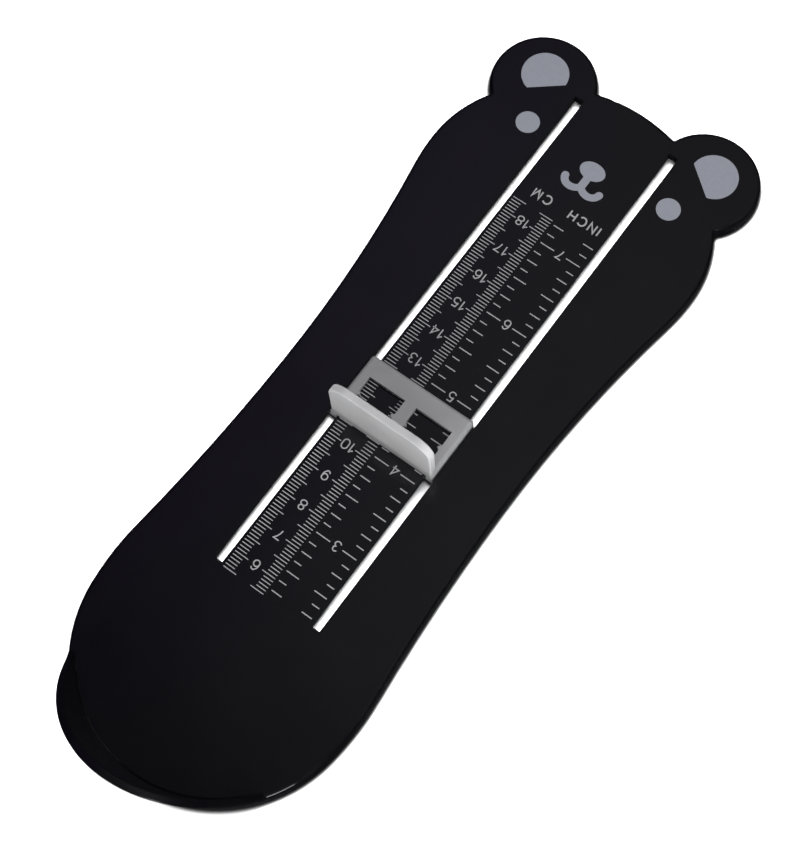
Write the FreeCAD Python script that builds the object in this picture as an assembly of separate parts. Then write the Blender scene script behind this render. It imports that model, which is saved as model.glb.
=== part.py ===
import FreeCAD, Part
import math
import os

# Child's foot measuring gauge: a moulded board with a heel cup and two long slots, and a
# toe stop that slides along them. All sizes are in millimetres.
#
# While the parts are built, Y runs from the zero of the printed scale, at the foot of the
# heel cup, towards the toes. X = 0 is the line of symmetry and Z = 0 the table. The finished
# parts are then moved along Y, so that the origin lies under the middle of the whole.

# ---- board outline: half widths and where they lie along the scale ----
HEEL_HALF_WIDTH = 39.5
HEEL_FLARE = 0.4
HEEL_CENTRE_Y = 36.9
HEEL_WIDEST_Y = 42.8
HEEL_BEND_RADIUS = 67.0
WAIST_INSET = 3.4
WAIST_Y = 110.3
BALL_BEND_RADIUS = 62.3
BALL_HALF_WIDTH = 43.1
BALL_WIDEST_Y = 188.7
BALL_SHOULDER_RADIUS = 36.2
EAR_X = 27.1
EAR_Y = 219.4
EAR_RADIUS = 15.3
CROWN_Y = 227.0
CROWN_RADIUS = 50.0
NOTCH_RADIUS = 0.3

# ---- board section ----
BOARD_HEIGHT = 4.0
PLATE = 2.8
SKIRT_WALL = 1.8
TOP_EDGE_RADIUS = 1.2

# ---- slots ----
STRIP_WIDTH = 28.6
SLOT_WIDTH = 2.9
SLOT_START_Y = 55.6
SLOT_END_Y = 220.8

# ---- ribs under the board ----
RIB = 1.4
RIB_LIFT = 0.3
RAIL_GAP = 2.6
CROSS_RIB_PITCH = 27.0

# ---- heel cup ----
CUP_WALL = 2.1
CUP_HEIGHT = 23.8
CUP_LEAN = 0.15
CUP_BASE_RADIUS = 0.5
CUP_RIM_RADIUS = 0.45
CUP_FRONT_Y = 14.0
CUP_RUNOUT_RADIUS = 6.0
CUP_SINK = 0.7
CUP_SWEEP = 116.0
CUP_FILLET_SHORT = 1.4
CUP_FILLET_TAPER = 2.5
CUP_SECTIONS = 10

# ---- toe stop ----
STOP_FACE_Y = 105.1
STOP_LENGTH = 19.3
STOP_FRAME = 1.5
STOP_EDGE_RADIUS = 1.2
STOP_CORNER_RADIUS = 0.8
FAR_BAR = 5.9
SIDE_BAR = 3.1
MIDDLE_BAR = 3.5
POINTER_REACH = 0.9
POINTER_HALF_HEIGHT = 0.75
POINTER_Y = 8.0
BLADE = 2.3
BLADE_INSET = 0.4
BLADE_HEIGHT = 19.6
BLADE_TOP_CORNER = 5.6
BLADE_EDGE_RADIUS = 0.4

# ---- legs, tongues and keeper plate ----
LEG = 2.0
TONGUE_LENGTH = 4.6
TONGUE_INSET = 2.2
BARB = 0.45
BARB_HEIGHT = 0.3
KEEPER = 0.6
KEEPER_OVERHANG = 2.4
KEEPER_INSET = 0.2
KEEPER_CORNER_RADIUS = 1.5
KEEPER_WINDOW_WIDTH = 18.0
KEEPER_WINDOW_LENGTH = 9.0

# ---- clearances ----
GLIDE = 0.15
SLOT_PLAY = 0.3
TONGUE_PLAY = 0.1
BARB_PLAY = 0.05
BITE = 0.04

HEEL_RADIUS = HEEL_HALF_WIDTH - HEEL_FLARE
WAIST_HALF_WIDTH = HEEL_HALF_WIDTH - WAIST_INSET
STRIP_HALF = STRIP_WIDTH / 2
PLATE_UNDERSIDE = BOARD_HEIGHT - PLATE
FRAME_UNDERSIDE = BOARD_HEIGHT + GLIDE
FRAME_TOP = FRAME_UNDERSIDE + STOP_FRAME
LEG_INNER_X = STRIP_HALF + SLOT_PLAY
STOP_HALF = LEG_INNER_X + LEG
RAIL_X = STRIP_HALF + SLOT_WIDTH + RAIL_GAP
KEEPER_TOP = PLATE_UNDERSIDE - GLIDE
KEEPER_UNDERSIDE = KEEPER_TOP - KEEPER
CUP_TOP = BOARD_HEIGHT + CUP_HEIGHT
CUP_BACK_Y = HEEL_CENTRE_Y - HEEL_RADIUS - CUP_LEAN * CUP_HEIGHT
CUP_ANGLE = math.atan(CUP_LEAN)
UP = FreeCAD.Vector(0, 0, 1)
TINY = 1e-6


def point(x, y, z=0.0):
    return FreeCAD.Vector(x, y, z)


def block(x0, x1, y0, y1, z0, z1):
    """A box between two corners."""
    return Part.makeBox(x1 - x0, y1 - y0, z1 - z0, point(x0, y0, z0))


def both_sides(shape):
    """The shape and its mirror image across X = 0."""
    return shape, shape.mirror(point(0, 0), point(1, 0))


def arc_about(centre, radius, start, end):
    """The edge of a circle that runs the short way round from near start to near end."""
    first = math.atan2(start.y - centre.y, start.x - centre.x)
    turn = math.atan2(end.y - centre.y, end.x - centre.x) - first
    turn = (turn + math.pi) % (2 * math.pi) - math.pi
    angles = (first, first + turn / 2, first + turn)
    ends = [centre + point(math.cos(a), math.sin(a)) * radius for a in angles]
    return Part.Arc(*ends).toShape()


def bend_through(start, middle, end):
    """A smooth curve from start to end, close to an arc, whose middle lies at the given point."""
    curve = Part.BezierCurve()
    curve.setPoles([start, middle * 2 - (start + end) * 0.5, end])
    return curve.toShape()


def touch(centre_a, centre_b, radius_a):
    """The point of circle a on the line from its centre to the centre of circle b."""
    return centre_a + (centre_b - centre_a).normalize() * radius_a


def meet(centre_a, radius_a, centre_b, radius_b, side):
    """A point at both distances from two centres, to the left (+1) or right (-1) of a to b."""
    across = centre_b - centre_a
    span = across.Length
    along = (radius_a**2 - radius_b**2 + span**2) / (2 * span)
    off = math.sqrt(radius_a**2 - along**2)
    across.normalize()
    return centre_a + across * along + point(-across.y, across.x) * (off * side)


def outline(inset=0.0):
    """The board's outline, or the same outline moved inwards, as a face at Z = 0.

    It is a chain of arcs, each of which runs on smoothly from the last.
    """
    heel = point(0, HEEL_CENTRE_Y)
    rise = HEEL_WIDEST_Y - HEEL_CENTRE_Y
    side_radius = (HEEL_HALF_WIDTH**2 + rise**2 - HEEL_RADIUS**2) / (2 * HEEL_FLARE)
    heel_side = point(HEEL_HALF_WIDTH - side_radius, HEEL_WIDEST_Y)
    heel_bend = point(HEEL_HALF_WIDTH - HEEL_BEND_RADIUS, HEEL_WIDEST_Y)
    ball_bend = point(BALL_HALF_WIDTH - BALL_BEND_RADIUS, BALL_WIDEST_Y)
    ball_shoulder = point(BALL_HALF_WIDTH - BALL_SHOULDER_RADIUS, BALL_WIDEST_Y)
    ear = point(EAR_X, EAR_Y)
    crown = point(0, CROWN_Y - CROWN_RADIUS)

    def waist_arc(half_width, widest_y, bend_radius):
        """The hollow arc at the waist that runs on from a bend, by its centre."""
        narrowing = half_width - WAIST_HALF_WIDTH
        radii = (narrowing**2 + (widest_y - WAIST_Y) ** 2) / (2 * narrowing)
        return point(WAIST_HALF_WIDTH + radii - bend_radius, WAIST_Y)

    waist_below = waist_arc(HEEL_HALF_WIDTH, HEEL_WIDEST_Y, HEEL_BEND_RADIUS)
    waist_above = waist_arc(BALL_HALF_WIDTH, BALL_WIDEST_Y, BALL_BEND_RADIUS)
    outer_notch = meet(
        ball_shoulder, BALL_SHOULDER_RADIUS + NOTCH_RADIUS, ear, EAR_RADIUS + NOTCH_RADIUS, -1
    )
    inner_notch = meet(crown, CROWN_RADIUS + NOTCH_RADIUS, ear, EAR_RADIUS + NOTCH_RADIUS, 1)
    ear_top = ear + point(0, EAR_RADIUS)

    heel_to_side = touch(heel_side, heel, side_radius)
    heel_widest = point(HEEL_HALF_WIDTH, HEEL_WIDEST_Y)
    bend_to_waist = touch(heel_bend, waist_below, HEEL_BEND_RADIUS)
    waist = point(WAIST_HALF_WIDTH, WAIST_Y)
    waist_to_bend = touch(ball_bend, waist_above, BALL_BEND_RADIUS)
    ball_widest = point(BALL_HALF_WIDTH, BALL_WIDEST_Y)
    shoulder_to_notch = touch(ball_shoulder, outer_notch, BALL_SHOULDER_RADIUS)
    notch_to_ear = touch(ear, outer_notch, EAR_RADIUS)
    ear_to_notch = touch(ear, inner_notch, EAR_RADIUS)
    notch_to_crown = touch(crown, inner_notch, CROWN_RADIUS)
    ear_outside = ear + point(EAR_RADIUS, 0)

    # An outward bulge loses the inset from its radius, and a hollow gains it.
    half = [
        arc_about(heel_side, side_radius - inset, heel_to_side, heel_widest),
        arc_about(heel_bend, HEEL_BEND_RADIUS - inset, heel_widest, bend_to_waist),
        arc_about(waist_below, waist_below.x - WAIST_HALF_WIDTH + inset, bend_to_waist, waist),
        arc_about(waist_above, waist_above.x - WAIST_HALF_WIDTH + inset, waist, waist_to_bend),
        arc_about(ball_bend, BALL_BEND_RADIUS - inset, waist_to_bend, ball_widest),
        arc_about(ball_shoulder, BALL_SHOULDER_RADIUS - inset, ball_widest, shoulder_to_notch),
        arc_about(outer_notch, NOTCH_RADIUS + inset, shoulder_to_notch, notch_to_ear),
        arc_about(ear, EAR_RADIUS - inset, notch_to_ear, ear_outside),
        arc_about(ear, EAR_RADIUS - inset, ear_outside, ear_top),
        arc_about(ear, EAR_RADIUS - inset, ear_top, ear_to_notch),
        arc_about(inner_notch, NOTCH_RADIUS + inset, ear_to_notch, notch_to_crown),
    ]
    heel_end = point(-heel_to_side.x, heel_to_side.y)
    heel_arc = arc_about(heel, HEEL_RADIUS - inset, heel_end, heel_to_side)
    crown_end = point(-notch_to_crown.x, notch_to_crown.y)
    crown_arc = arc_about(crown, CROWN_RADIUS - inset, notch_to_crown, crown_end)
    mirrored = [both_sides(edge)[1] for edge in half]
    edges = Part.__sortEdges__([heel_arc, crown_arc] + half + mirrored)
    return Part.Face(Part.Wire(edges))


def edges_at_height(solid, height):
    """The edges of a solid that lie flat at one height."""
    return [e for e in solid.Edges if max(abs(v.Z - height) for v in e.Vertexes) < TINY]


def board_shell():
    """The plate with its rounded top edge and the skirt round it."""
    body = outline().extrude(UP * BOARD_HEIGHT)
    body = body.makeFillet(TOP_EDGE_RADIUS, edges_at_height(body, BOARD_HEIGHT))
    hollow = outline(SKIRT_WALL).extrude(UP * PLATE_UNDERSIDE)
    return body.cut(hollow)


def ribs():
    """Ribs under the plate: two rails beside the toe stop's channel, and ribs across the board."""
    middle = (SLOT_START_Y + SLOT_END_Y) / 2
    inside = outline(SKIRT_WALL / 2).extrude(UP * (PLATE_UNDERSIDE - RIB_LIFT))
    inside.translate(UP * RIB_LIFT)
    bars = [
        block(RAIL_X, RAIL_X + RIB, 0, CROWN_Y, 0, PLATE_UNDERSIDE),
        block(0, BALL_HALF_WIDTH, SLOT_START_Y - 2 * RIB, SLOT_START_Y - RIB, 0, PLATE_UNDERSIDE),
    ]
    count = int((SLOT_END_Y - SLOT_START_Y) / 2 / CROSS_RIB_PITCH)
    for step in range(-count, count + 1):
        y = middle + step * CROSS_RIB_PITCH
        bars.append(block(RAIL_X, BALL_HALF_WIDTH, y, y + RIB, 0, PLATE_UNDERSIDE))
    halves = [side for bar in bars for side in both_sides(bar)]
    heel_rib = block(-RIB / 2, RIB / 2, HEEL_CENTRE_Y - HEEL_RADIUS, SLOT_START_Y - RIB, 0, PLATE_UNDERSIDE)
    heel_cross = block(
        -HEEL_HALF_WIDTH, HEEL_HALF_WIDTH, HEEL_CENTRE_Y, HEEL_CENTRE_Y + RIB, 0, PLATE_UNDERSIDE
    )
    return halves[0].fuse(halves[1:] + [heel_rib, heel_cross]).common(inside)


def rim_height(y):
    """The height of the heel cup's rim seen from the side: a straight slope down from the back
    that bends into a level run just under the bed."""
    level = BOARD_HEIGHT - CUP_SINK
    slope = (CUP_TOP - level) / (CUP_FRONT_Y - CUP_BACK_Y)
    angle = math.atan(slope)
    run = CUP_RUNOUT_RADIUS * math.tan(angle / 2)
    if y <= CUP_FRONT_Y - run * math.cos(angle):
        return level + slope * (CUP_FRONT_Y - y)
    before_end = max(CUP_FRONT_Y + run - y, 0)
    return level + CUP_RUNOUT_RADIUS - math.sqrt(CUP_RUNOUT_RADIUS**2 - before_end**2)


def cup_face_radius(z):
    """How far the cup's leaning outer face stands from the heel's centre at a height."""
    return HEEL_RADIUS + CUP_LEAN * (z - BOARD_HEIGHT)


def rim_at(turn):
    """The rim's height at an angle from the back, where the leaning face meets its side view."""
    low = BOARD_HEIGHT - CUP_SINK
    high = CUP_TOP
    while high - low > TINY:
        z = (low + high) / 2
        if z < rim_height(HEEL_CENTRE_Y - cup_face_radius(z) * math.cos(turn)):
            low = z
        else:
            high = z
    return high


def rim_runs():
    """How far the rim's two rounded edges reach from the sharp corners, outside and inside."""
    outer = CUP_RIM_RADIUS / math.tan((math.pi / 2 - CUP_ANGLE) / 2)
    inner = CUP_RIM_RADIUS / math.tan((math.pi / 2 + CUP_ANGLE) / 2)
    return outer, inner


def wall_section(turn):
    """The wall cut through at an angle from the back: a leaning bar with a rounded rim."""
    z = rim_at(turn)
    outer_run, inner_run = rim_runs()
    upwards = point(math.sin(CUP_ANGLE), 0, math.cos(CUP_ANGLE))
    outer_corner = point(cup_face_radius(z), 0, z)
    inner_corner = outer_corner - point(CUP_WALL, 0)
    outer_bend = outer_corner + point(-outer_run, 0, -CUP_RIM_RADIUS)
    inner_bend = inner_corner + point(inner_run, 0, -CUP_RIM_RADIUS)
    foot = point(cup_face_radius(PLATE_UNDERSIDE), 0, PLATE_UNDERSIDE)
    corners = [
        foot - point(CUP_WALL, 0),
        inner_corner - upwards * inner_run,
        inner_bend + (inner_corner - inner_bend).normalize() * CUP_RIM_RADIUS,
        inner_corner + point(inner_run, 0),
        outer_corner - point(outer_run, 0),
        outer_bend + (outer_corner - outer_bend).normalize() * CUP_RIM_RADIUS,
        outer_corner - upwards * outer_run,
        foot,
    ]
    around = point(math.sin(turn), -math.cos(turn))
    a, b, inside, c, d, outside, e, f = [point(0, HEEL_CENTRE_Y, p.z) + around * p.x for p in corners]
    edges = [
        Part.makeLine(a, b),
        bend_through(b, inside, c),
        Part.makeLine(c, d),
        bend_through(d, outside, e),
        Part.makeLine(e, f),
        Part.makeLine(f, a),
    ]
    return Part.Wire(edges)


def heel_cup():
    """The leaning wall round the heel. Its sections crowd towards its ends, where the rim bends."""
    steps = [math.pi * (i / CUP_SECTIONS - 0.5) for i in range(CUP_SECTIONS + 1)]
    turns = [CUP_SWEEP / 2 * math.sin(step) for step in steps]
    return Part.makeLoft([wall_section(math.radians(turn)) for turn in turns], True, False)


def cup_fillet():
    """The fillet along the foot of the wall, which tapers off before the wall does."""
    inner = HEEL_RADIUS - CUP_WALL
    reach = CUP_BASE_RADIUS * math.tan((math.pi / 2 - CUP_ANGLE) / 2)
    bend = point(inner - reach, 0, BOARD_HEIGHT + CUP_BASE_RADIUS)
    halfway = bend + (point(inner, 0, BOARD_HEIGHT) - bend).normalize() * CUP_BASE_RADIUS
    # Both ends of the curve run a little way into the wall and the bed.
    on_wall = point(inner, 0, BOARD_HEIGHT) + point(math.sin(CUP_ANGLE), 0, math.cos(CUP_ANGLE)) * reach
    on_wall.x += BITE
    on_bed = point(inner - reach, 0, BOARD_HEIGHT - BITE)
    buried = point(inner + CUP_WALL / 2, 0, BOARD_HEIGHT - CUP_SINK)
    below = point(on_bed.x, 0, buried.z)
    section = [
        Part.Arc(on_wall, halfway, on_bed).toShape(),
        Part.makeLine(on_bed, below),
        Part.makeLine(below, buried),
        Part.makeLine(buried, on_wall),
    ]
    face = Part.Face(Part.Wire(section))
    face.rotate(point(0, 0), UP, -90 - CUP_SWEEP / 2)
    ring = face.revolve(point(0, 0), UP, CUP_SWEEP)
    ring.translate(point(0, HEEL_CENTRE_Y))
    end_y = CUP_FRONT_Y - CUP_FILLET_SHORT
    top = BOARD_HEIGHT + CUP_BASE_RADIUS
    side_view = [
        point(-HEEL_RADIUS, CUP_BACK_Y, PLATE_UNDERSIDE),
        point(-HEEL_RADIUS, end_y, PLATE_UNDERSIDE),
        point(-HEEL_RADIUS, end_y, BOARD_HEIGHT),
        point(-HEEL_RADIUS, end_y - CUP_FILLET_TAPER, top),
        point(-HEEL_RADIUS, CUP_BACK_Y, top),
    ]
    slab = Part.Face(Part.makePolygon(side_view + side_view[:1])).extrude(point(2 * HEEL_RADIUS, 0))
    return ring.common(slab)


def foot_board():
    slot = block(STRIP_HALF, STRIP_HALF + SLOT_WIDTH, SLOT_START_Y, SLOT_END_Y, 0, BOARD_HEIGHT)
    board = board_shell().fuse(ribs()).cut(both_sides(slot))
    return board.fuse(heel_cup()).fuse(cup_fillet()).removeSplitter()


def blade():
    """The upright plate that the toes touch, a little narrower than the frame that it stands on."""
    half = STOP_HALF - BLADE_INSET
    top = BOARD_HEIGHT + BLADE_HEIGHT
    y = STOP_FACE_Y
    bend = point(half - BLADE_TOP_CORNER, y, top - BLADE_TOP_CORNER)
    across = BLADE_TOP_CORNER / math.sqrt(2)
    foot = point(half, y, FRAME_UNDERSIDE)
    side = point(half, y, bend.z)
    shoulder = point(bend.x, y, top)
    corner = Part.Arc(side, bend + point(across, 0, across), shoulder).toShape()
    edges = [Part.makeLine(foot, side), corner]
    edges += [both_sides(edge)[1] for edge in edges]
    edges.append(Part.makeLine(shoulder, point(-bend.x, y, top)))
    edges.append(Part.makeLine(foot, point(-half, y, FRAME_UNDERSIDE)))
    face = Part.Face(Part.Wire(Part.__sortEdges__(edges)))
    plate = face.extrude(point(0, BLADE))
    rounded = [e for e in plate.Edges if e.BoundBox.YLength < TINY and e.BoundBox.ZMax > FRAME_TOP]
    return plate.makeFillet(BLADE_EDGE_RADIUS, rounded)


def stop_frame():
    """The windowed plate that lies over the strip, and the two legs that drop into the slots."""
    half = STOP_HALF
    far_y = STOP_FACE_Y + STOP_LENGTH
    plate = block(-half, half, STOP_FACE_Y, far_y, FRAME_UNDERSIDE, FRAME_TOP)
    leg = block(LEG_INNER_X, half, STOP_FACE_Y, far_y, KEEPER_TOP, FRAME_UNDERSIDE)
    body = plate.fuse(both_sides(leg)).removeSplitter()
    far_corners = []
    for edge in body.Edges:
        box = edge.BoundBox
        outside = abs(box.XMin) > LEG_INNER_X + TINY
        if outside and box.ZLength > STOP_FRAME + TINY and box.YMin > far_y - TINY:
            far_corners.append(edge)
    body = body.makeFillet(STOP_CORNER_RADIUS, far_corners)
    rounded = [e for e in edges_at_height(body, FRAME_TOP) if e.BoundBox.YMax > STOP_FACE_Y + BLADE]
    body = body.makeFillet(STOP_EDGE_RADIUS, rounded)
    inner = MIDDLE_BAR / 2
    outer = half - SIDE_BAR
    window = block(inner, outer, STOP_FACE_Y + BLADE, far_y - FAR_BAR, FRAME_UNDERSIDE, FRAME_TOP)
    pointers = both_sides(pointer(inner, POINTER_REACH)) + both_sides(pointer(outer, -POINTER_REACH))
    return body.cut(both_sides(window)).fuse(pointers)


def pointer(x, reach):
    """A small pointed tab on a window's edge, which marks the reading."""
    y = STOP_FACE_Y + POINTER_Y
    corners = [
        point(x, y - POINTER_HALF_HEIGHT, FRAME_UNDERSIDE),
        point(x + reach, y, FRAME_UNDERSIDE),
        point(x, y + POINTER_HALF_HEIGHT, FRAME_UNDERSIDE),
    ]
    return Part.Face(Part.makePolygon(corners + corners[:1])).extrude(UP * STOP_FRAME)


def tongue_starts():
    """Where the two tongues under each leg begin along Y."""
    return STOP_FACE_Y + TONGUE_INSET, STOP_FACE_Y + STOP_LENGTH - TONGUE_INSET - TONGUE_LENGTH


def tongue(start_y):
    """A tongue below a leg, with a barb that hooks under the keeper."""
    outer = STOP_HALF
    hook = KEEPER_UNDERSIDE - BARB_PLAY
    tip = hook - BARB_HEIGHT
    corners = [
        point(LEG_INNER_X, start_y, KEEPER_TOP),
        point(outer, start_y, KEEPER_TOP),
        point(outer, start_y, hook),
        point(outer + BARB, start_y, hook),
        point(outer - BARB, start_y, tip),
        point(LEG_INNER_X, start_y, tip),
    ]
    return Part.Face(Part.makePolygon(corners + corners[:1])).extrude(point(0, TONGUE_LENGTH))


def toe_stop():
    tongues = [side for y in tongue_starts() for side in both_sides(tongue(y))]
    return stop_frame().fuse([blade()] + tongues).removeSplitter()


def stop_keeper():
    """The plate under the strip that the toe stop's tongues snap through."""
    half = STOP_HALF + KEEPER_OVERHANG
    near_y = STOP_FACE_Y + KEEPER_INSET
    far_y = STOP_FACE_Y + STOP_LENGTH - KEEPER_INSET
    plate = block(-half, half, near_y, far_y, KEEPER_UNDERSIDE, KEEPER_TOP)
    upright = [e for e in plate.Edges if e.BoundBox.ZLength > KEEPER / 2]
    plate = plate.makeFillet(KEEPER_CORNER_RADIUS, upright)
    window = block(-KEEPER_WINDOW_WIDTH / 2, KEEPER_WINDOW_WIDTH / 2, 0, KEEPER_WINDOW_LENGTH, 0, PLATE)
    window.translate(point(0, (near_y + far_y - KEEPER_WINDOW_LENGTH) / 2))
    holes = [window]
    for y in tongue_starts():
        hole = block(
            LEG_INNER_X - TONGUE_PLAY,
            STOP_HALF + TONGUE_PLAY,
            y - TONGUE_PLAY,
            y + TONGUE_LENGTH + TONGUE_PLAY,
            KEEPER_UNDERSIDE,
            KEEPER_TOP,
        )
        holes += both_sides(hole)
    return plate.cut(holes)


def main():
    parts = {"foot_board": foot_board(), "toe_stop": toe_stop(), "stop_keeper": stop_keeper()}
    back_y = HEEL_CENTRE_Y - cup_face_radius(CUP_TOP) + rim_runs()[0] - CUP_RIM_RADIUS
    front_y = EAR_Y + EAR_RADIUS
    shift = -(back_y + front_y) / 2
    os.makedirs("parts", exist_ok=True)
    for name, shape in parts.items():
        shape.translate(point(0, shift))
        print(name, shape.isValid(), len(shape.Solids), round(shape.Volume, 2))
        shape.exportStep(f"parts/{name}.step")
    # The legs stop a little short of the slots' ends.
    nearest = SLOT_START_Y + SLOT_PLAY - STOP_FACE_Y
    farthest = SLOT_END_Y - SLOT_PLAY - STOP_FACE_Y - STOP_LENGTH
    print("scale zero at y =", round(shift, 4))
    print("toe stop travel", round(nearest, 3), "to", round(farthest, 3))


main()
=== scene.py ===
import math

import bmesh
import bpy
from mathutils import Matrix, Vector


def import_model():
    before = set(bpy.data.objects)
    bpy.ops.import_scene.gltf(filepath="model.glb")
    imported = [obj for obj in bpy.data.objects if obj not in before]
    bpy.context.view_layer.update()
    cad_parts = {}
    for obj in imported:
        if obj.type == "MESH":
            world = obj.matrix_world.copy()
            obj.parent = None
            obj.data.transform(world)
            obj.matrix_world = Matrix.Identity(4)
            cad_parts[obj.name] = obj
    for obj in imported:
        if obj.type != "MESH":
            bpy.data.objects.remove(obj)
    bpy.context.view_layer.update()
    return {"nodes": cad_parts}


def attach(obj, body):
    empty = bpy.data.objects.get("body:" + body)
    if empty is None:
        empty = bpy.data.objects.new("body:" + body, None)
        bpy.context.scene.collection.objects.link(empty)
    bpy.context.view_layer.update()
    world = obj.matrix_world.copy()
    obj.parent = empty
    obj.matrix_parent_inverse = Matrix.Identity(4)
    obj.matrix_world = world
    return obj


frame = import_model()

scene = bpy.context.scene
nodes = frame["nodes"]
MM = 0.001

# In millimetres: where the printed scale's zero lies along Y, the height of the board's top, how
# far the ink stands above it, how far one ink lies over another, and how far it is sunk in.
SCALE_ZERO = -114.501
TOP = 4.0
INK = 0.03
LAYER = 0.002
BURIED = 0.02
# A stroke's corner reaches out by its half width over this, at most.
SHARPEST_CORNER = 0.4


# ---------------------------------------------------------------- flat printed shapes
def arc(cx, cy, rx, ry, start, end, steps=14):
    """Points along an ellipse from one angle to another, in degrees."""
    points = []
    for i in range(steps + 1):
        a = math.radians(start + (end - start) * i / steps)
        points.append((cx + rx * math.cos(a), cy + ry * math.sin(a)))
    return points


def corner(bm, x, y, z):
    """A vertex at a place on the printed scale, given in millimetres."""
    return bm.verts.new((x * MM, (y + SCALE_ZERO) * MM, z * MM))


def add_prism(bm, outline, top):
    """A thin closed slab with this outline, sunk a little into the board."""
    area = sum(a[0] * b[1] - b[0] * a[1] for a, b in zip(outline, outline[1:] + outline[:1]))
    if area < 0:
        outline = outline[::-1]
    low = [corner(bm, x, y, TOP - BURIED) for x, y in outline]
    high = [corner(bm, x, y, top) for x, y in outline]
    bm.faces.new(high)
    bm.faces.new(low[::-1])
    for i in range(len(outline)):
        j = (i + 1) % len(outline)
        bm.faces.new((low[i], low[j], high[j], high[i]))


def offsets(points, half, closed):
    """The two edges of a stroke of this half width along a line of points."""
    left, right = [], []
    count = len(points)
    for i, (x, y) in enumerate(points):
        before = points[i - 1] if i or closed else None
        after = points[(i + 1) % count] if i < count - 1 or closed else None
        runs = []
        if before:
            runs.append(Vector((x - before[0], y - before[1])).normalized())
        if after:
            runs.append(Vector((after[0] - x, after[1] - y)).normalized())
        along = (runs[0] + runs[-1]).normalized()
        side = Vector((-along.y, along.x)) * (half / max(along.dot(runs[0]), SHARPEST_CORNER))
        left.append((x + side.x, y + side.y))
        right.append((x - side.x, y - side.y))
    return left, right


def add_stroke(bm, points, width, top, closed):
    """A line of ink of one width: a closed strip with square ends, or a ring."""
    left, right = offsets(points, width / 2, closed)
    low = TOP - BURIED
    rows = []
    for a, b in zip(left, right):
        around = ((*a, top), (*b, top), (*b, low), (*a, low))
        rows.append([corner(bm, *place) for place in around])
    pairs = list(zip(rows, rows[1:]))
    if closed:
        pairs.append((rows[-1], rows[0]))
    for first, second in pairs:
        for k in range(4):
            m = (k + 1) % 4
            bm.faces.new((first[k], first[m], second[m], second[k]))
    if not closed:
        bm.faces.new(rows[0][::-1])
        bm.faces.new(rows[-1])


def finish_print(name, bm, material):
    """Makes the gathered ink into a piece that rides on the board."""
    bmesh.ops.recalc_face_normals(bm, faces=bm.faces)
    mesh = bpy.data.meshes.new(name)
    bm.to_mesh(mesh)
    bm.free()
    piece = bpy.data.objects.new(name, mesh)
    scene.collection.objects.link(piece)
    mesh.materials.append(material)
    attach(piece, "board")


# ---------------------------------------------------------------- figures and letters
# Each one is a set of strokes in a box 1 high, whose width comes with it.
def figure(name):
    """The width and the strokes of a figure or letter: (points, closed) pairs."""
    if name == "0":
        ring = arc(0.32, 0.68, 0.32, 0.32, 0, 180) + arc(0.32, 0.32, 0.32, 0.32, 180, 360)
        return 0.64, [(ring, True)]
    if name == "1":
        flag = [(0, 0.72), (0.12, 0.78), (0.24, 0.89), (0.3, 1.0)]
        return 0.34, [(flag + [(0.34, 1.0), (0.34, 0)], False)]
    if name == "2":
        curve = arc(0.32, 0.71, 0.29, 0.29, 170, -20)
        return 0.62, [(curve + [(0.46, 0.4), (0.1, 0.12), (0.0, 0.0), (0.62, 0.0)], False)]
    if name == "3":
        top = arc(0.29, 0.755, 0.25, 0.245, 150, -85)
        low = arc(0.29, 0.265, 0.31, 0.265, 85, -158, 18)
        return 0.6, [(top, False), (low, False)]
    if name == "4":
        return 0.66, [([(0.48, 0), (0.48, 1), (0.0, 0.3), (0.66, 0.3)], False)]
    if name == "5":
        bowl = arc(0.29, 0.31, 0.32, 0.31, 128, -155, 20)
        return 0.61, [([(0.55, 1), (0.13, 1), (0.06, 0.56)] + bowl, False)]
    if name in "69":
        bowl = arc(0.325, 0.31, 0.305, 0.31, 0, 360, 24)[:-1]
        hook = arc(0.345, 0.72, 0.265, 0.28, 22, 115, 10) + arc(0.42, 0.5, 0.4, 0.47, 128, 205, 12)
        strokes = [(bowl, True), (hook, False)]
        if name == "9":
            strokes = [([(0.64 - x, 1 - y) for x, y in line], shut) for line, shut in strokes]
        return 0.64, strokes
    if name == "7":
        return 0.62, [([(0, 1), (0.62, 1), (0.4, 0.7), (0.27, 0.36), (0.21, 0)], False)]
    if name == "8":
        top = arc(0.32, 0.76, 0.265, 0.24, 0, 360, 22)[:-1]
        low = arc(0.32, 0.265, 0.32, 0.265, 0, 360, 24)[:-1]
        return 0.64, [(top, True), (low, True)]
    if name == "C":
        return 0.8, [(arc(0.44, 0.5, 0.44, 0.5, 42, 318, 30), False)]
    if name == "M":
        return 0.82, [([(0, 0), (0, 1), (0.41, 0.02), (0.82, 1), (0.82, 0)], False)]
    if name == "I":
        return 0.0, [([(0, 0), (0, 1)], False)]
    if name == "N":
        return 0.7, [([(0, 0), (0, 1), (0.7, 0), (0.7, 1)], False)]
    # An H.
    lines = [(0, 0), (0, 1)], [(0.7, 0), (0.7, 1)], [(0, 0.52), (0.7, 0.52)]
    return 0.7, [(line, False) for line in lines]


def write(bm, text, x, y, height, stroke, gap):
    """Writes text centred on a point, upside down, as a reader at the toes sees it."""
    scale = height - stroke
    shapes = [figure(c) for c in text]
    total = sum(width * scale for width, _ in shapes) + gap * (len(text) - 1)
    start = total / 2
    for width, strokes in shapes:
        for layer, (line, closed) in enumerate(strokes):
            placed = [(x + start - u * scale, y - (v - 0.5) * scale) for u, v in line]
            add_stroke(bm, placed, stroke, TOP + INK + layer * LAYER, closed)
        start -= width * scale + gap


# ---------------------------------------------------------------- materials
def new_material(name):
    """A new material, its tree and its main shader."""
    material = bpy.data.materials.new(name)
    material.use_nodes = True
    tree = material.node_tree
    return material, tree, tree.nodes["Principled BSDF"]


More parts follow.
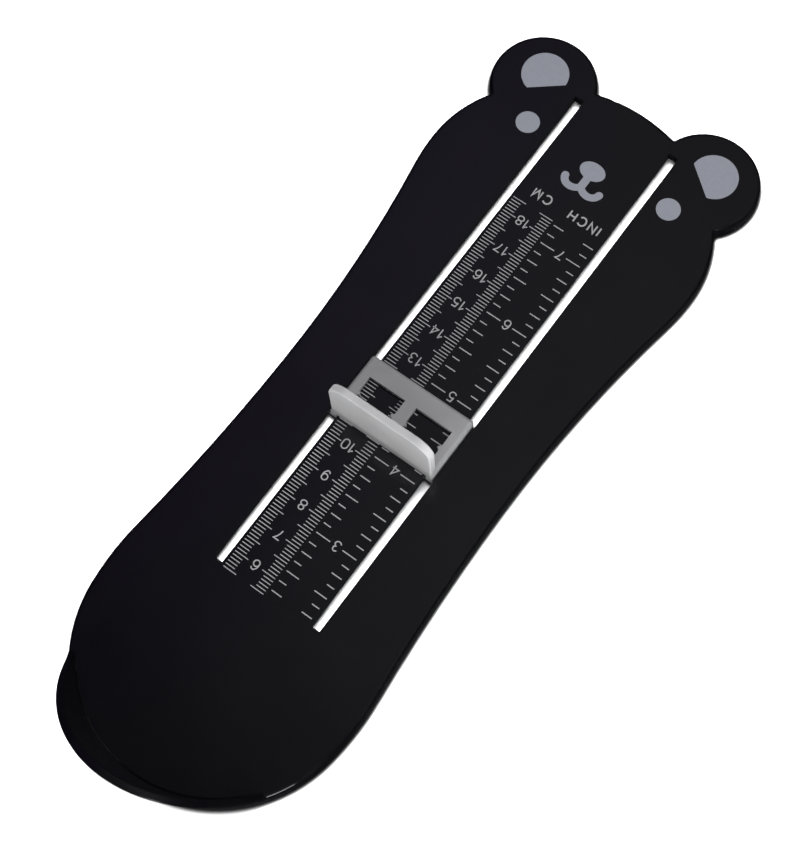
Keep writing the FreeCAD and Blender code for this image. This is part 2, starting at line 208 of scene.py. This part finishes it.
def noise(tree, scale, detail, roughness):
    """Soft noise of about 0.3 to 0.7 that stays with the piece as it moves."""
    coords = tree.nodes.new("ShaderNodeTexCoord")
    texture = tree.nodes.new("ShaderNodeTexNoise")
    texture.inputs["Scale"].default_value = scale
    texture.inputs["Detail"].default_value = detail
    texture.inputs["Roughness"].default_value = roughness
    tree.links.new(coords.outputs["Object"], texture.inputs["Vector"])
    return texture.outputs["Fac"]


def spread(tree, value, low, high, darkest, lightest):
    """Spreads the part of a value between low and high over a new range."""
    step = tree.nodes.new("ShaderNodeMapRange")
    step.inputs["From Min"].default_value = low
    step.inputs["From Max"].default_value = high
    step.inputs["To Min"].default_value = darkest
    step.inputs["To Max"].default_value = lightest
    tree.links.new(value, step.inputs["Value"])
    return step.outputs["Result"]


def mix_colours(tree, factor, first, second):
    """The first colour where the factor is 0, and the second where it is 1."""
    mix = tree.nodes.new("ShaderNodeMix")
    mix.data_type = "RGBA"
    mix.inputs["A"].default_value = (*first, 1)
    mix.inputs["B"].default_value = (*second, 1)
    tree.links.new(factor, mix.inputs["Factor"])
    return mix.outputs["Result"]


def scaled(tree, colour, factor):
    """A colour times a value."""
    node = tree.nodes.new("ShaderNodeVectorMath")
    node.operation = "SCALE"
    tree.links.new(colour, node.inputs[0])
    tree.links.new(factor, node.inputs["Scale"])
    return node.outputs["Vector"]


def product(tree, first, second):
    """One value times another."""
    node = tree.nodes.new("ShaderNodeMath")
    node.operation = "MULTIPLY"
    tree.links.new(first, node.inputs[0])
    tree.links.new(second, node.inputs[1])
    return node.outputs["Value"]


def bump(tree, shader, height, distance):
    """Fine relief of this depth in metres."""
    node = tree.nodes.new("ShaderNodeBump")
    node.inputs["Distance"].default_value = distance
    tree.links.new(height, node.inputs["Height"])
    tree.links.new(node.outputs["Normal"], shader.inputs["Normal"])


def board_plastic():
    """Black moulded plastic: glossy, with a very fine skin and a little haze from handling."""
    material, tree, shader = new_material("board_plastic")
    haze = spread(tree, noise(tree, 45, 3, 0.55), 0.35, 0.7, 0.0, 1.0)
    colour = mix_colours(tree, haze, (0.0018, 0.0016, 0.0026), (0.0026, 0.0024, 0.0034))
    roughness = spread(tree, noise(tree, 120, 5, 0.6), 0.3, 0.7, 0.15, 0.19)
    tree.links.new(colour, shader.inputs["Base Color"])
    tree.links.new(roughness, shader.inputs["Roughness"])
    shader.inputs["IOR"].default_value = 1.46
    bump(tree, shader, noise(tree, 2600, 2, 0.5), 0.000004)
    return material


# Between these heights, in metres, the stop's plastic turns from frame to blade: below them its
# colour is painted darker, a painted shade for the light the thin frame loses into the black board.
FRAME_TOP, BLADE_CLEAR = 0.0056, 0.0085


def stop_plastic():
    """Light grey milky plastic, with painted shade: its thin frame is coloured darker for the light
    it loses into the black board.
    """
    material, tree, shader = new_material("stop_plastic")
    coords = tree.nodes.new("ShaderNodeTexCoord")
    split = tree.nodes.new("ShaderNodeSeparateXYZ")
    tree.links.new(coords.outputs["Object"], split.inputs["Vector"])
    # Painted shade: the colour darkens from the blade down to the thin frame, standing in for light
    # lost through the frame.
    depth = spread(tree, split.outputs["Z"], FRAME_TOP, BLADE_CLEAR, 0.0, 1.0)
    cloud = spread(tree, noise(tree, 160, 3, 0.5), 0.3, 0.7, 0.92, 1.0)
    body = mix_colours(tree, depth, (0.31, 0.31, 0.312), (0.50, 0.50, 0.503))
    roughness = spread(tree, noise(tree, 300, 4, 0.6), 0.3, 0.7, 0.28, 0.38)
    tree.links.new(scaled(tree, body, cloud), shader.inputs["Base Color"])
    tree.links.new(roughness, shader.inputs["Roughness"])
    shader.inputs["Subsurface Weight"].default_value = 0.4
    shader.inputs["Subsurface Radius"].default_value = (1.0, 1.0, 1.0)
    shader.inputs["Subsurface Scale"].default_value = 0.0015
    bump(tree, shader, noise(tree, 1800, 2, 0.5), 0.000005)
    return material


def ink(name, dark, light):
    """Screen-printed ink: matt, slightly uneven."""
    material, tree, shader = new_material(name)
    cover = spread(tree, noise(tree, 900, 4, 0.6), 0.3, 0.7, 0.0, 1.0)
    roughness = spread(tree, noise(tree, 500, 3, 0.5), 0.3, 0.7, 0.42, 0.55)
    tree.links.new(mix_colours(tree, cover, dark, light), shader.inputs["Base Color"])
    tree.links.new(roughness, shader.inputs["Roughness"])
    bump(tree, shader, noise(tree, 3500, 3, 0.6), 0.000006)
    return material


black = board_plastic()
grey = stop_plastic()
line_ink = ink("line_ink", (0.325, 0.325, 0.332), (0.37, 0.37, 0.378))
face_ink = ink("face_ink", (0.255, 0.268, 0.302), (0.277, 0.29, 0.327))

for name, node in nodes.items():
    node.data.materials.clear()
    node.data.materials.append(black if name == "foot_board" else grey)


# ---------------------------------------------------------------- scales
# Each scale has a row of ticks at its outer and at its inner edge, with the numbers between them.
CM_OUTER, CM_INNER, INCH_INNER, INCH_OUTER = -13.45, -0.42, 0.62, 13.55
MILLIMETRES = range(55, 186)
CENTIMETRES = range(6, 19)
EIGHTHS = range(18, 59)
INCHES = range(3, 8)
INCH = 25.4
CM_SHORT, CM_LONG = 3.0, 4.2
# The tick's length at whole inches, halves, quarters and eighths.
INCH_LENGTHS = {8: 4.5, 4: 3.95, 2: 3.2, 1: 2.3}
CM_LINE, INCH_LINE = 0.24, 0.30

CM_NUMBER_X, INCH_NUMBER_X = -6.8, 7.2
FIGURE_HEIGHT, FIGURE_STROKE, FIGURE_GAP = 3.1, 0.34, 1.0
INCH_WORD_X, WORD_Y, WORD_STROKE = 7.1, 189.5, 0.46
CM_WORD_GAP, INCH_WORD_GAP = 1.3, 1.25


def add_tick(bm, x, y, length, line):
    """A tick across the board from x, with its middle on the reading y."""
    a, b = sorted((x, x + length))
    low, high = y - line / 2, y + line / 2
    add_prism(bm, [(a, low), (b, low), (b, high), (a, high)], TOP + INK)


bm = bmesh.new()
for mm in MILLIMETRES:
    length = CM_LONG if mm % 5 == 0 else CM_SHORT
    add_tick(bm, CM_OUTER, mm, length, CM_LINE)
    add_tick(bm, CM_INNER, mm, -length, CM_LINE)
finish_print("centimetre_ticks", bm, line_ink)

bm = bmesh.new()
for eighth in EIGHTHS:
    part = next(p for p in (8, 4, 2, 1) if eighth % p == 0)
    length = INCH_LENGTHS[part]
    add_tick(bm, INCH_INNER, eighth * INCH / 8, length, INCH_LINE)
    add_tick(bm, INCH_OUTER, eighth * INCH / 8, -length, INCH_LINE)
finish_print("inch_ticks", bm, line_ink)

bm = bmesh.new()
for cm in CENTIMETRES:
    write(bm, str(cm), CM_NUMBER_X, cm * 10, FIGURE_HEIGHT, FIGURE_STROKE, FIGURE_GAP)
finish_print("centimetre_numbers", bm, line_ink)

bm = bmesh.new()
for inch in INCHES:
    write(bm, str(inch), INCH_NUMBER_X, inch * INCH, FIGURE_HEIGHT, FIGURE_STROKE, FIGURE_GAP)
finish_print("inch_numbers", bm, line_ink)

bm = bmesh.new()
write(bm, "CM", CM_NUMBER_X, WORD_Y, FIGURE_HEIGHT, WORD_STROKE, CM_WORD_GAP)
write(bm, "INCH", INCH_WORD_X, WORD_Y, FIGURE_HEIGHT, WORD_STROKE, INCH_WORD_GAP)
finish_print("unit_words", bm, line_ink)


# ---------------------------------------------------------------- the bear's face
EYE_X, EYE_Y, EYE_RADIUS = 23.5, 206.3, 3.42
PATCH_X, PATCH_Y, PATCH_RADIUS = 28.3, 221.85, 6.8
CHORD_ENDS = ((21.6, 222.1), (30.0, 215.35))

# An ear's patch is a circle with a straight cut between the chord's ends.
first, last = [math.degrees(math.atan2(y - PATCH_Y, x - PATCH_X)) for x, y in CHORD_ENDS]
eye = arc(EYE_X, EYE_Y, EYE_RADIUS, EYE_RADIUS, 0, 360, 64)[:-1]
patch = arc(PATCH_X, PATCH_Y, PATCH_RADIUS, PATCH_RADIUS, first, last, 60)
bm = bmesh.new()
for side in (-1, 1):
    for outline in (eye, patch):
        add_prism(bm, [(side * x, y) for x, y in outline], TOP + INK)
finish_print("eyes_and_ear_patches", bm, face_ink)

# The nose is an oval, and a stem runs down from it to two hooks that meet in the mouth's middle.
# Each hook is between an upper and a lower curve, which are wider on the stem's side of its lowest
# point than on the tip's side. The angles, in degrees, are where the curves leave stem and tip.
MIDDLE_X, NOSE_Y, NOSE_HALF_WIDTH, NOSE_HALF_HEIGHT = 0.05, 203.9, 3.85, 2.8
STEM_HALF_WIDTH = 1.15
HOOK_X, HOOK_Y, TIP_X, TIP_Y, TIP_RADIUS = 3.0, 199.2, 5.62, 198.78, 1.12
UPPER_RISE, UPPER_TO_STEM, UPPER_TO_TIP = 1.45, 2.2, 1.56
LOWER_DROP, LOWER_TO_MIDDLE, LOWER_TO_TIP = 3.6, 4.2, 3.76
AT_STEM, LOWEST, UPPER_AT_TIP, LOWER_AT_TIP, AT_MIDDLE = 212.8, 270, 343, 353, 224.4

half = [(STEM_HALF_WIDTH, NOSE_Y)]
half += arc(HOOK_X, HOOK_Y, UPPER_TO_STEM, UPPER_RISE, AT_STEM, LOWEST)
half += arc(HOOK_X, HOOK_Y, UPPER_TO_TIP, UPPER_RISE, LOWEST, UPPER_AT_TIP)[1:]
half += arc(TIP_X, TIP_Y, TIP_RADIUS, TIP_RADIUS, 180, 0, 20)
half += arc(HOOK_X, HOOK_Y, LOWER_TO_TIP, LOWER_DROP, LOWER_AT_TIP, LOWEST, 20)
half += arc(HOOK_X, HOOK_Y, LOWER_TO_MIDDLE, LOWER_DROP, LOWEST, AT_MIDDLE)[1:]
half[-1] = (0, half[-1][1])
mouth = half + [(-x, y) for x, y in half[-2::-1]]
nose = arc(MIDDLE_X, NOSE_Y, NOSE_HALF_WIDTH, NOSE_HALF_HEIGHT, 0, 360, 64)[:-1]
bm = bmesh.new()
add_prism(bm, nose, TOP + INK)
add_prism(bm, [(x + MIDDLE_X, y) for x, y in mouth], TOP + INK + LAYER)
finish_print("nose_and_mouth", bm, face_ink)


# ---------------------------------------------------------------- floor, light and camera
# In metres. The floor lies this far under the part, and its colour is painted darker this near to
# it, a painted contact shade.
FLOOR_SIZE, FLOOR_GAP, CONTACT_SHADE = 3, 0.0002, 0.0015


def floor():
    """A white floor, with painted contact shade where the part is near, and clear from below."""
    bpy.ops.mesh.primitive_plane_add(size=FLOOR_SIZE, location=(0, 0, -FLOOR_GAP))
    plane = bpy.context.object
    plane.name = "floor"
    material, tree, shader = new_material("floor_white")
    # Painted contact shade: occlusion near the part darkens the floor's colour towards black.
    contact = tree.nodes.new("ShaderNodeAmbientOcclusion")
    contact.inputs["Distance"].default_value = CONTACT_SHADE
    clear = spread(tree, contact.outputs["AO"], 0.5, 0.95, 0.0, 1.0)
    painted_contact_shade = product(tree, product(tree, clear, clear), clear)
    colour = mix_colours(tree, painted_contact_shade, (0.01, 0.01, 0.01), (0.9, 0.9, 0.9))
    tree.links.new(colour, shader.inputs["Base Color"])
    shader.inputs["Roughness"].default_value = 0.9
    shader.inputs["Specular IOR Level"].default_value = 0.0
    facing = tree.nodes.new("ShaderNodeNewGeometry")
    clear_below = tree.nodes.new("ShaderNodeBsdfTransparent")
    mix = tree.nodes.new("ShaderNodeMixShader")
    tree.links.new(facing.outputs["Backfacing"], mix.inputs["Fac"])
    tree.links.new(shader.outputs["BSDF"], mix.inputs[1])
    tree.links.new(clear_below.outputs["BSDF"], mix.inputs[2])
    tree.links.new(mix.outputs["Shader"], tree.nodes["Material Output"].inputs["Surface"])
    plane.data.materials.append(material)
    plane.visible_glossy = False
    return plane


def area_light(name, place, aim, size, power, glossy=True, diffuse=True, only=None):
    """A soft lamp. It may stay out of reflections, show only in them, or light one object alone."""
    light = bpy.data.lights.new(name, "AREA")
    light.shape = "RECTANGLE"
    light.size, light.size_y = size
    light.energy = power
    lamp = bpy.data.objects.new(name, light)
    lamp.visible_glossy = glossy
    lamp.visible_diffuse = diffuse
    lamp.location = place
    lamp.rotation_euler = (Vector(aim) - Vector(place)).to_track_quat("-Z", "Y").to_euler()
    scene.collection.objects.link(lamp)
    if only:
        receivers = bpy.data.collections.new(name + "_receivers")
        receivers.objects.link(only)
        lamp.light_linking.receiver_collection = receivers


def world():
    """A surround that the camera sees as white, and the part as a soft light from above.

    Across Y the light has a dark middle, so that the flat gloss stays deep, and dims again far out.
    It is weak near the horizon, purple on the left, and weaker there except toward the toes.
    """
    surround = bpy.data.worlds.new("studio")
    scene.world = surround
    surround.use_nodes = True
    tree = surround.node_tree
    tree.nodes.clear()
    coords = tree.nodes.new("ShaderNodeTexCoord")
    split = tree.nodes.new("ShaderNodeSeparateXYZ")
    tree.links.new(coords.outputs["Generated"], split.inputs["Vector"])
    across = tree.nodes.new("ShaderNodeMath")
    across.operation = "ABSOLUTE"
    tree.links.new(split.outputs["Y"], across.inputs[0])
    left = spread(tree, split.outputs["X"], -0.25, -0.225, 1.0, 0.0)
    near = spread(tree, split.outputs["Y"], 0.225, 0.26, 1.0, 0.0)
    strength = spread(tree, across.outputs["Value"], 0.04, 0.16, 0.07, 0.225)
    strength.node.interpolation_type = "SMOOTHSTEP"
    far_out = spread(tree, across.outputs["Value"], 0.40, 0.47, 1.0, 0.75)
    overhead = spread(tree, split.outputs["Z"], 0.45, 0.75, 0.12, 1.0)
    left_near = spread(tree, product(tree, left, near), 0.0, 1.0, 1.0, 0.62)
    for factor in (far_out, overhead, left_near):
        strength = product(tree, strength, factor)
    side = spread(tree, split.outputs["X"], -0.28, -0.215, 0.0, 1.0)
    side.node.interpolation_type = "SMOOTHSTEP"
    tint = mix_colours(tree, side, (0.92, 0.80, 1.30), (1.22, 1.24, 1.32))
    lit = tree.nodes.new("ShaderNodeBackground")
    tree.links.new(tint, lit.inputs["Color"])
    tree.links.new(strength, lit.inputs["Strength"])
    seen = tree.nodes.new("ShaderNodeBackground")
    seen.inputs["Color"].default_value = (1, 1, 1, 1)
    path = tree.nodes.new("ShaderNodeLightPath")
    mix = tree.nodes.new("ShaderNodeMixShader")
    out = tree.nodes.new("ShaderNodeOutputWorld")
    tree.links.new(path.outputs["Is Camera Ray"], mix.inputs["Fac"])
    tree.links.new(lit.outputs["Background"], mix.inputs[1])
    tree.links.new(seen.outputs["Background"], mix.inputs[2])
    tree.links.new(mix.outputs["Shader"], out.inputs["Surface"])


plane = floor()
world()
board = nodes["foot_board"]
MIDDLE, HEEL = (0, 0, 0), (0, -0.1, 0)
area_light("heel_side", (0.5, -1.05, 0.55), MIDDLE, (1.2, 0.7), 12.8, glossy=False)
area_light("rim_gleam", (0.85, -0.62, 0.5), HEEL, (0.3, 0.3), 3, diffuse=False, only=board)
area_light("toe_left", (-0.5, 0.4, 1.6), MIDDLE, (1.2, 1.2), 14, glossy=False)
area_light("right", (1.2, 0.0, 0.6), MIDDLE, (0.5, 0.9), 11, glossy=False)
area_light("floor_wash", (-0.25, 0.35, 1.5), MIDDLE, (0.7, 0.7), 60, only=plane)
area_light("floor_fill", (0, -1.0, 0.35), MIDDLE, (1.0, 0.5), 15, only=plane)

# Fitted to the printed scale's lines and to the part's forms, in metres and radians.
lens = bpy.data.cameras.new("camera")
lens.sensor_width = 36
lens.lens = 75.064
lens.clip_start = 0.01
camera = bpy.data.objects.new("camera", lens)
camera.location = (0.106681, -0.122429, 0.448134)
camera.rotation_euler = (0.343292, 0.031673, 0.633105)
scene.collection.objects.link(camera)
scene.camera = camera

scene.view_settings.view_transform = "Standard"
scene.view_settings.look = "None"
